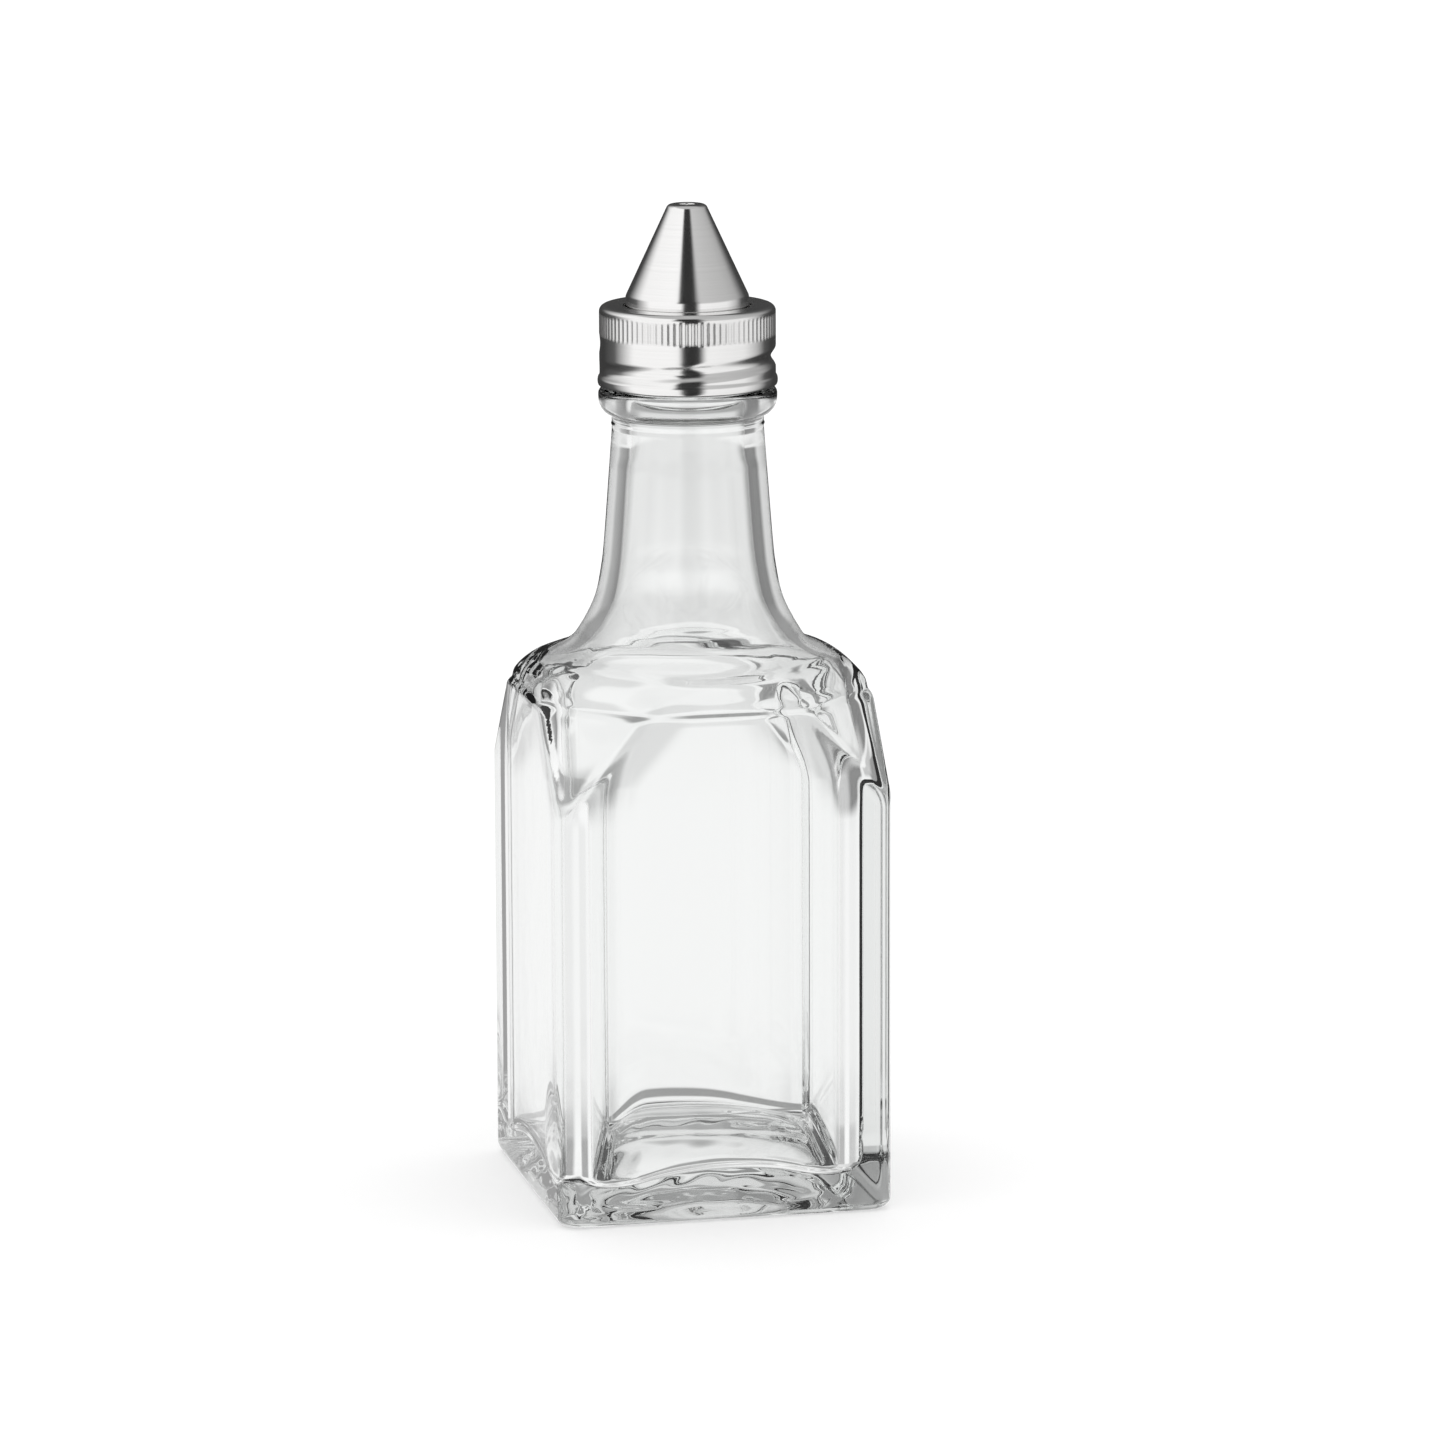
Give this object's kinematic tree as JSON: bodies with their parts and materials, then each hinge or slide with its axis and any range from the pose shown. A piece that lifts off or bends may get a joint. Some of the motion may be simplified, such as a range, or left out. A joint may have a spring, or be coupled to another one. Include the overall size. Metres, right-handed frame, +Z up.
{
  "type": "glass oil and vinegar cruet",
  "caption": "Square clear glass cruet with a facet-cornered shoulder, threaded neck and steel screw-on cone pouring top.",
  "frame": {"origin": "centre of the flat ring that the bottle stands on", "axes": "+Z up along the bottle's axis and the thread's axis; +X and +Y square to the four flat faces, with a flat face at -Y towards the viewer"},
  "size_m": [0.054, 0.054, 0.1582],
  "materials": {
    "clear_glass": "clear, fire-polished, slightly wavy inside",
    "collar_steel": "bright stainless steel, knurled and thread-rolled",
    "cone_steel": "stainless steel with a fine spun polish",
    "washer_rubber": "matt translucent white food-grade"
  },
  "bodies": {
    "bottle": {"glass_bottle": "clear_glass"},
    "spout": {"pour_cone": "cone_steel", "sealing_washer": "washer_rubber"},
    "collar": {"screw_collar": "collar_steel"}
  },
  "joints": [
    {"name": "top_lift", "type": "slide", "parent": "bottle", "child": "spout", "axis": [0, 0, 1], "range_m": [0, 0.0128]},
    {"name": "collar_turn", "type": "hinge", "parent": "spout", "child": "collar", "pos_m": [0, 0, 0.136], "axis": [0, 0, 1], "range_deg": [0, 1080]}
  ],
  "couplings": [
    {"joint": "top_lift", "follows": "collar_turn", "m_per_rad": 0.0006737}
  ]
}
